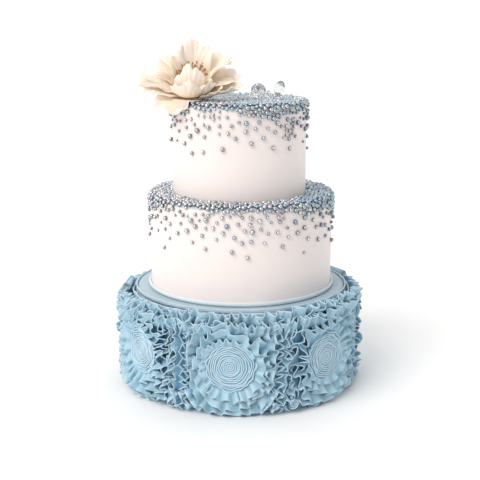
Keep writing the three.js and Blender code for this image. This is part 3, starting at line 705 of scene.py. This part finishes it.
def build_rim():
    standing_strip("edge_strip_edge", "edge_strip", "pale_blue_fondant", 116.2, 1.2, (105.7, 104.9), 108.9, 1.5, 0.45,
                   0.3)
    standing_strip("collar_strip", "collar", "blue_fondant", 118.7, 1.5, (92, 92), 103.6, 3.6, 1.6, 0.8)
    for i, azimuth, turn in ((1, -93, -90), (2, 117, 90)):
        rolled_strip(f"rolled_quill_{i}", f"quill_{i}", azimuth, 126.6, 104.7, turn, 3.2, (0.9, 4.0), 0.75, (-17, 17),
                     0.5, 1.2)
    for i, azimuth, scale in ((1, 23.6, 1.0), (2, 15.2, 0.7)):
        rolled_strip(f"rolled_bud_{i}", f"bud_{i}", azimuth, 137, 11.4, 180, 2.9, (0.7 * scale, 4.6 * scale),
                     0.95 * scale, (-12, 0), 0.9 * scale, 1.6 * scale)


# ---------- Pearls ----------
SPARSE_DEPTH = 49.0  # how far down a wall pearls lie
CLOSE_SIZES = ((2.4, 0.22), (2.05, 0.33), (1.65, 0.45))  # radius, and share of the tries
PEARL_LOOKS = [("silver", (164, 166, 171), (223, 224, 226), 0.78), ("blue", (126, 147, 165), (168, 188, 203), 0.65),
               ("teal", (142, 165, 172), (180, 201, 206), 0.62), ("lilac", (158, 159, 174), (198, 198, 208), 0.65)]


def icosphere():
    golden = (1 + 5**0.5) / 2
    points = [(-1, golden, 0), (1, golden, 0), (-1, -golden, 0), (1, -golden, 0), (0, -1, golden), (0, 1, golden),
              (0, -1, -golden), (0, 1, -golden), (golden, 0, -1), (golden, 0, 1), (-golden, 0, -1), (-golden, 0, 1)]
    points = [Vector(p).normalized() for p in points]
    faces = [(0, 11, 5), (0, 5, 1), (0, 1, 7), (0, 7, 10), (0, 10, 11), (1, 5, 9), (5, 11, 4), (11, 10, 2), (10, 7, 6),
             (7, 1, 8), (3, 9, 4), (3, 4, 2), (3, 2, 6), (3, 6, 8), (3, 8, 9), (4, 9, 5), (2, 4, 11), (6, 2, 10),
             (8, 6, 7), (9, 8, 1)]
    middles, finer = {}, []

    def middle(a, b):
        key = (min(a, b), max(a, b))
        if key not in middles:
            middles[key] = len(points)
            points.append((points[a] + points[b]).normalized())
        return middles[key]

    for a, b, c in faces:
        ab, bc, ca = middle(a, b), middle(b, c), middle(c, a)
        finer += [(a, ab, ca), (b, bc, ab), (c, ca, bc), (ab, bc, ca)]
    return np.array([tuple(p) for p in points]), np.array(finer)


BALL, BALL_FACES = icosphere()


def tier_surface(tier, u):
    """The point, and its normal, at a distance u inwards (negative) or down (positive) from the rounded edge's foot,
    as (radius, height, outward, upward)."""
    r, h, s, z, _ = tier
    quarter = s * math.pi / 2
    if u >= 0:
        return r, z + h - s - u, 1.0, 0.0
    if u > -quarter:
        angle = -u / s
        return r - s + s * math.cos(angle), z + h - s + s * math.sin(angle), math.cos(angle), math.sin(angle)
    return r - s + (u + quarter), z + h, 0.0, 1.0


def pearl_kind(rng, tier, azimuth, fall):
    """0 silver, 1 blue, 2 teal or 3 lilac: each colour gathers in its own parts of the rims."""

    def sector(middle, width):
        return bell(wrapped(azimuth - math.radians(middle)), math.radians(width))

    if tier is TOP:
        teal = 0.12 + 0.45 * sector(22, 45) + 0.35 * sector(190, 60)
        blue = 0.08 + 0.3 * sector(75, 32) + 0.2 * sector(200, 40)
    else:
        teal = 0.05 + 0.45 * sector(88, 38) + 0.1 * sector(-32, 15) + 0.25 * sector(-150, 40)
        blue = 0.08 + 0.5 * sector(76, 35) + 0.2 * sector(-140, 40)
    fade = max(0.15, 1 - max(0, fall - 10) / 16)
    limits = np.cumsum([teal * fade, blue * fade, 0.14])
    return (2, 1, 3, 0)[np.searchsorted(limits, rng.random())]


def scatter_pearls(tier, inner, rng, kinds):
    """Pearls laid one by one, none into another: close together on the tier's top, outside the radius inner, and
    over its edge, then wider and wider apart down the wall. kinds collects (place, radius, normal) by kind."""
    cell, grid = 5.2, {}
    quarter = tier.shoulder * math.pi / 2
    flat = tier.radius - tier.shoulder - inner

    def try_place(u, azimuth, radius, lift=0.62, room=0.0):
        """Lays a pearl, unless another is nearer than touching or than room. lift is its centre's height in radii."""
        r, z, outward, upward = tier_surface(tier, u)
        reach = r + outward * radius * lift
        place = np.array([reach * math.sin(azimuth) + tier.offset, -reach * math.cos(azimuth),
                          z + upward * radius * lift])
        x, y, z = np.floor(place / cell).astype(int)
        cells = range(-1 - int(room / cell), 2 + int(room / cell))
        for key in ((x + dx, y + dy, z + dz) for dx in cells for dy in cells for dz in cells):
            for other, size in grid.get(key, ()):
                if np.sum((other - place) ** 2) < max(0.96 * (radius + size), room) ** 2:
                    return
        grid.setdefault((x, y, z), []).append((place, radius))
        normal = np.array([outward * math.sin(azimuth), -outward * math.cos(azimuth), upward])
        kinds.setdefault(pearl_kind(rng, tier, azimuth, u + tier.shoulder), []).append((place, radius, normal))

    wander = rng.uniform(0, FULL_TURN, 4)  # the last is spare

    def close_reach(azimuth):
        """How far below the rounded edge the pearls still lie close together."""
        degrees = math.degrees(azimuth)
        wave = sum(math.sin(lobes * azimuth + phase) for lobes, phase in zip((3, 7, 13), wander))
        if tier is TOP:
            return -4.5 + 10.5 * bell(degrees - 34, 30) + 1.3 * wave
        return -4 + 12 * bell(degrees - 72, 30) + 9 * bell(degrees + 76, 24) + 1.2 * wave

    tries = int(26 * (flat + quarter + 8) * FULL_TURN * tier.radius / 14)
    for size, share in CLOSE_SIZES:
        for _ in range(int(tries * share)):
            u = rng.uniform(-quarter - flat, 14)
            azimuth = rng.uniform(-math.pi, math.pi)
            if rng.random() > tier_surface(tier, u)[0] / tier.radius:
                continue
            over = u - close_reach(azimuth)
            if over > 0 and rng.random() < over / 3.5:
                continue
            try_place(u, azimuth, size * rng.uniform(0.88, 1.08), 0.55)
    for fall in np.linspace(5, SPARSE_DEPTH, 2400):
        share = (fall - 5) / (SPARSE_DEPTH - 5)
        room = 4.3 + 10.5 * share**1.35 + rng.uniform(-0.8, 2.2)
        if rng.random() < 1.15 - 0.75 * share:
            size = rng.choice([1.6, 1.9, 2.2, 2.65], p=[0.12, 0.32, 0.36, 0.2])
            u = max(1, fall - 4 + rng.uniform(-5, 3))
            try_place(u, rng.uniform(-math.pi, math.pi), size * rng.uniform(0.92, 1.06), room=room)
    if tier is TOP:  # a trail of pearls right of the front
        for _ in range(60):
            fall = rng.uniform(10, 32)
            try_place(fall, math.radians(50 - fall * 0.22 + rng.uniform(-5, 5)), rng.uniform(1.5, 2.3))


def build_pearls():
    kinds = {}
    scatter_pearls(MIDDLE, TOP.radius + 2.5, np.random.default_rng(11), kinds)
    scatter_pearls(TOP, 0, np.random.default_rng(12), kinds)
    for kind, pearls in sorted(kinds.items()):
        name, *look = PEARL_LOOKS[kind]
        places, sizes, normals = (np.array(column) for column in zip(*pearls))
        points = places[:, None, :] + BALL[None] * sizes[:, None, None]
        faces = BALL_FACES[None] + (np.arange(len(pearls)) * len(BALL))[:, None, None]
        # painted light from how far each point turns away from the cake: low at the foot, where shade is painted
        obj = mesh_object(f"pearls_{name}", points, [faces.reshape(-1, 3)], pearl_material(f"pearl_{name}", *look),
                          rise=(normals @ BALL.T + 1) / 2)
        piece(obj, "blush_fondant")


# ---------- Sugar peony ----------
Petal = namedtuple("Petal", "name toward open curl length half base cup ruffle phase")
PETALS = [
    ("inner_front", 270, 84, -140, 47, 16, 8, 0.8, 0.5, 0.4),
    ("inner_back_left", 112, 16, 34, 42, 17, 9, 0.4, 2.8, 1.2),
    ("inner_back_right", 70, 12, 34, 46, 18, 8, 0.4, 3.0, 2.6),
    ("inner_left", 157, 34, 34, 42, 14, 8, 0.5, 2.6, 0.2),
    ("inner_right", 20, 30, 50, 50, 15, 8, 0.6, 2.6, 1.9),
    ("middle_front", 264, 84, -88, 46, 18, 4, 0.7, 0.9, 2.9),
    ("middle_front_right", 312, 84, -78, 38, 13, 4, 0.6, 1.6, 0.9),
    ("middle_left", 186, 64, 12, 50, 12, 4, 0.3, 2.4, 1.4),
    ("middle_right", 2, 48, 44, 46, 14, 4, 0.4, 2.3, 2.2),
    ("middle_back_left", 150, 50, 26, 38, 14, 4, 0.5, 2.4, 0.7),
    ("middle_back_right", 50, 44, 26, 40, 15, 4, 0.5, 2.4, 3.3),
    ("outer_front_left", 243, 82, -10, 45, 24, 0.5, 0.2, 2.4, 2.4),
    ("outer_front_right", 322, 88, -60, 38, 15, 1, 0.9, 1.4, 0.3),
    ("outer_left", 193, 70, 4, 52, 14, 1.5, 0.45, 2.4, 1.1),
    ("outer_right", 346, 80, -22, 56, 17, 1.5, 1.1, 1.8, 2.0),
    ("outer_back_left", 150, 62, 12, 40, 16, 1, 0.45, 2.2, 0.6),
    ("outer_back_right", 30, 64, 12, 40, 16, 1, 0.45, 2.2, 1.8),
]
PETAL_ACROSS, PETAL_ALONG = 44, 26  # quads
PETAL_BASE_RADIUS, PETAL_BASE_SHARE, PETAL_WIDEST, PETAL_TIP_ROUND, PETAL_WAVES = 6, 0.34, 0.55, 0.26, 2.4
FLOWER_AT = np.array([-53.0, -9.0, 318.0])
FLOWER_LEAN = math.radians(30)
STAMENS = 64
STAMEN_FOOT = 12  # height in the flower
STAMEN_RADII = np.array([0.38, 0.34, 0.32, 0.32, 0.3, 0.3, 0.3])[:, None]  # from foot to tip
STAMEN_SIDES = 6


def petal_surface(petal, u, v, seed):
    """Points of a petal's middle surface in the flower's frame. u runs across it, and v from base to tip."""
    rng = np.random.default_rng(seed)
    start, bend, toward = (math.radians(a) for a in (petal.open, petal.curl, petal.toward))
    scallop = 0.12 * value_noise(rng, u[0] * 10 + 40, 2.8) + 0.05 * value_noise(rng, u[0] * 10 + 40, 1.4)
    lean = start + bend * v * (1 - PETAL_TIP_ROUND * np.abs(u) ** 3) * (1 + scallop * v**3)
    r = PETAL_BASE_RADIUS + petal.length * (math.cos(start) - np.cos(lean)) / bend
    h = petal.base + petal.length * (np.sin(lean) - math.sin(start)) / bend
    swell = np.sin(np.pi / 2 * np.minimum(1, v / PETAL_WIDEST))
    across = petal.half * (PETAL_BASE_SHARE + (1 - PETAL_BASE_SHARE) * swell) * u
    cup = petal.cup * 0.5 * across**2 / petal.half
    wave = np.sin(np.pi * PETAL_WAVES * u + petal.phase) * (0.35 + 0.65 * np.abs(u))
    border = np.maximum(v, np.clip(np.abs(u) * 1.15 - 0.15, 0, 1) * np.clip(v * 2.2, 0, 1))
    along_rim = u * 9 + (1 - v) * np.sign(u) * 6
    sway = 3 * value_noise(rng, along_rim + 60, 5)
    frill = np.sin(along_rim * 1.25 + petal.phase * 2 + sway) + 0.45 * np.sin(along_rim * 2.5 + petal.phase)
    inward = cup + petal.ruffle * wave * v**4 + 0.55 * (0.6 + petal.ruffle) * frill * border**3
    inward += 0.06 * np.sin(u * 30 + 2 * np.sin(v * 5)) * np.clip(v * 2, 0, 1)
    radial = r - np.cos(lean) * inward
    return np.stack([radial * math.cos(toward) - across * math.sin(toward),
                     radial * math.sin(toward) + across * math.cos(toward), h + np.sin(lean) * inward], -1)


def flower_to_cake(points):
    return points @ np.array(Matrix.Rotation(FLOWER_LEAN, 3, "X")).T + FLOWER_AT


def petal_object(petal, seed):
    u, v = np.meshgrid(np.linspace(-1, 1, PETAL_ACROSS + 1), np.linspace(0, 1, PETAL_ALONG + 1))
    middle = petal_surface(petal, u, v, seed)
    normal = unit(np.cross(np.gradient(middle, axis=1), np.gradient(middle, axis=0)))
    border = np.maximum(v, np.abs(u))
    half = (0.62 - 0.36 * np.clip((border - 0.55) / 0.45, 0, 1))[..., None]
    sheets = []
    for sign, floor in ((1, CAKE_TOP + 3.9), (-1, CAKE_TOP + 3.4)):
        spot = flower_to_cake(middle + sign * half * normal)
        on_cake = np.hypot(spot[..., 0] - TOP.offset, spot[..., 1]) < TOP.radius + 3
        spot[on_cake, 2] = np.maximum(spot[on_cake, 2], floor)
        sheets.append(spot)
    index = np.arange(u.size).reshape(u.shape)
    quads = np.stack([index[:-1, :-1], index[:-1, 1:], index[1:, 1:], index[1:, :-1]], -1).reshape(-1, 4)
    rim = np.concatenate([index[0, :-1], index[:-1, -1], index[-1, :0:-1], index[:0:-1, 0]])
    after = np.roll(rim, -1)
    edge = np.stack([rim, rim + u.size, after + u.size, after], -1)
    faces = np.concatenate([quads, quads[:, ::-1] + u.size, edge])
    # painted light: lowest at a petal's base and middle, where warm shade is painted
    rise = v * 0.75 + 0.25 * np.abs(u) * v
    return mesh_object(f"peony_{petal.name}", np.stack(sheets), [faces], PETAL_PASTE, rise=np.stack([rise, rise]))


def build_stamens():
    """Threads from the flower's heart, each with a knob, spread at the golden angle."""
    rng, soup = np.random.default_rng(5), Soup()
    for i in range(STAMENS):
        spread = 0.08 + 0.75 * math.sqrt((i + 0.5) / STAMENS)
        angle = i * math.pi * (3 - math.sqrt(5)) + rng.uniform(-0.2, 0.2)
        length = 23 + rng.uniform(-3.5, 2.5)
        lean = spread + rng.uniform(-0.25, 0.35) * np.linspace(0, 1, len(STAMEN_RADII))
        middle = (lean[1:] + lean[:-1]) / 2
        run, up = (np.concatenate([[0], np.cumsum(part)])[:, None] / (len(STAMEN_RADII) - 1) * length
                   for part in (np.sin(middle), np.cos(middle)))
        ring, lean = circle(STAMEN_SIDES), lean[:, None]
        x = 1.8 * spread + run + STAMEN_RADII * np.cos(ring) * np.cos(lean)
        y = STAMEN_RADII * np.sin(ring)
        z = STAMEN_FOOT + up - STAMEN_RADII * np.cos(ring) * np.sin(lean)
        tube = np.stack([x * math.cos(angle) - y * math.sin(angle), x * math.sin(angle) + y * math.cos(angle), z], -1)
        knob = BALL * (0.85, 0.85, 1.25) * rng.uniform(0.8, 1.15) + tube[-1].mean(0)
        soup.add_tube(flower_to_cake(tube))
        soup.add(flower_to_cake(knob), BALL_FACES)
    soup.piece("peony_stamens", STAMEN_PASTE, "stamens", "stamens")


def build_flower():
    for k, petal in enumerate(Petal(*row) for row in PETALS):
        piece(petal_object(petal, 300 + k), "ivory_paste", f"petal_{petal.name}")
    build_stamens()
    for slot in bpy.data.objects["flower_heart"].material_slots:
        slot.material = PETAL_PASTE


# ---------- Clear sugar gems ----------
GEM_SIDES = 8
GEM_CULET = -8.6
GEM_RINGS = (  # radius, height, share of a step round: the table, the crown, the pavilion, and the girdle's edges
    (5.0, 4.2, 0.5), (7.2, 2.55, 0), (4.0, -5.2, 0.5), (8.55, 0.35, 0), (8.55, -0.35, 0), (8.55, 0.35, 0.5),
    (8.55, -0.35, 0.5))


def gem_object(name, node, x, y, turn, tip, scale):
    points = []
    for k in range(GEM_SIDES):
        for radius, z, share in GEM_RINGS:
            angle = FULL_TURN / GEM_SIDES * (k + share)
            points.append((radius * math.cos(angle), radius * math.sin(angle), z))
    turned = Matrix.Rotation(math.radians(turn), 3, "Z") @ Matrix.Rotation(math.radians(tip), 3, "X")
    points = [turned @ (Vector(p) * scale) for p in points + [(0, 0, GEM_CULET)]]
    shift = Vector((x, y, CAKE_TOP + CRUST + CLEARANCE - min(p.z for p in points)))
    bm = bmesh.new()
    for p in points:
        bm.verts.new((p + shift) * MM)
    made = bmesh.ops.convex_hull(bm, input=list(bm.verts))
    inside = {g for g in made["geom_interior"] if isinstance(g, bmesh.types.BMVert)}
    bmesh.ops.delete(bm, geom=list(inside), context="VERTS")
    bmesh.ops.dissolve_limit(bm, angle_limit=math.radians(0.5), verts=list(bm.verts), edges=list(bm.edges))
    me = bpy.data.meshes.new(name)
    bm.to_mesh(me)
    bm.free()
    me.materials.append(CLEAR_SUGAR)
    piece(linked(name, me), "clear_sugar", node)


def build_gems():
    gem_object("brilliant_left", "gem_left", 19, 1, 12, 68, 1)
    gem_object("brilliant_right", "gem_right", 43, 27, -52, 80, 1.02)
    gem_object("brilliant_small", "gem_small", 32, 50, 70, 40, 0.34)


# ---------- Floor, light and camera ----------
FLOOR_REACH = 60000
WORLD_STRENGTH, KEY_STRENGTH = 0.88, 1.72
KEY_DIRECTION, KEY_SPREAD, KEY_COLOR = Vector((0.62, 0.62, -0.85)), math.radians(38), (1.0, 0.975, 0.95)
CAMERA_AT, CAMERA_PITCH = Vector((-1.05, -1047.96, 403.45)), math.radians(13.33)
PHOTO_PIXELS, FOCAL_PIXELS, SENSOR_WIDTH = 480, 961.19, 36.0


def build_stage():
    mat = bpy.data.materials.new("floor")
    tree = Tree(mat, "Principled BSDF")
    tree.feed("Roughness", 0.7)
    tree.feed("Base Color", tree.ramp(tree.noise(3, 2), (0.3, (0.9, 0.9, 0.9)), (0.7, (0.93, 0.93, 0.93))))
    corners = [(x * FLOOR_REACH, y * FLOOR_REACH, 0) for x, y in ((-1, -1), (1, -1), (1, 1), (-1, 1))]
    floor = mesh_object("floor", corners, [[[0, 1, 2, 3]]], mat, smooth=False)

    world = bpy.data.worlds.new("studio")
    bpy.context.scene.world = world
    tree = Tree(world, "Background")
    axes = tree.axes("Generated")
    x, y = (tree.math("MULTIPLY_ADD", axes[key], 0.5, 0.5) for key in "XY")
    across = tree.ramp(x, (0.1, (0.92, 0.85, 0.81)), (0.4, (0.86, 0.84, 0.825)), (0.62, (0.74, 0.75, 0.755)),
                       (1.0, (0.49, 0.515, 0.53)))
    behind = tree.ramp(y, (0.35, BLACK), (0.75, WHITE))
    tree.feed("Color", tree.mix("MIX", behind, across, (1.3, 1.3, 1.3)))
    tree.feed("Strength", WORLD_STRENGTH)

    light = bpy.data.lights.new("key", "SUN")
    light.energy, light.angle, light.color = KEY_STRENGTH, KEY_SPREAD, KEY_COLOR
    linked("key", light).rotation_euler = KEY_DIRECTION.to_track_quat("-Z", "Y").to_euler()


def build_camera():
    data = bpy.data.cameras.new("camera")
    data.sensor_fit = "HORIZONTAL"
    data.sensor_width = SENSOR_WIDTH
    data.lens = FOCAL_PIXELS / PHOTO_PIXELS * SENSOR_WIDTH
    camera = linked("camera", data)
    camera.location = CAMERA_AT * MM
    camera.rotation_euler = (math.pi / 2 - CAMERA_PITCH, 0, 0)
    bpy.context.scene.camera = camera


build_tiers()
build_ruffles()
build_rim()
build_pearls()
build_flower()
build_gems()
build_stage()
build_camera()
bpy.context.scene.view_settings.view_transform = "Standard"
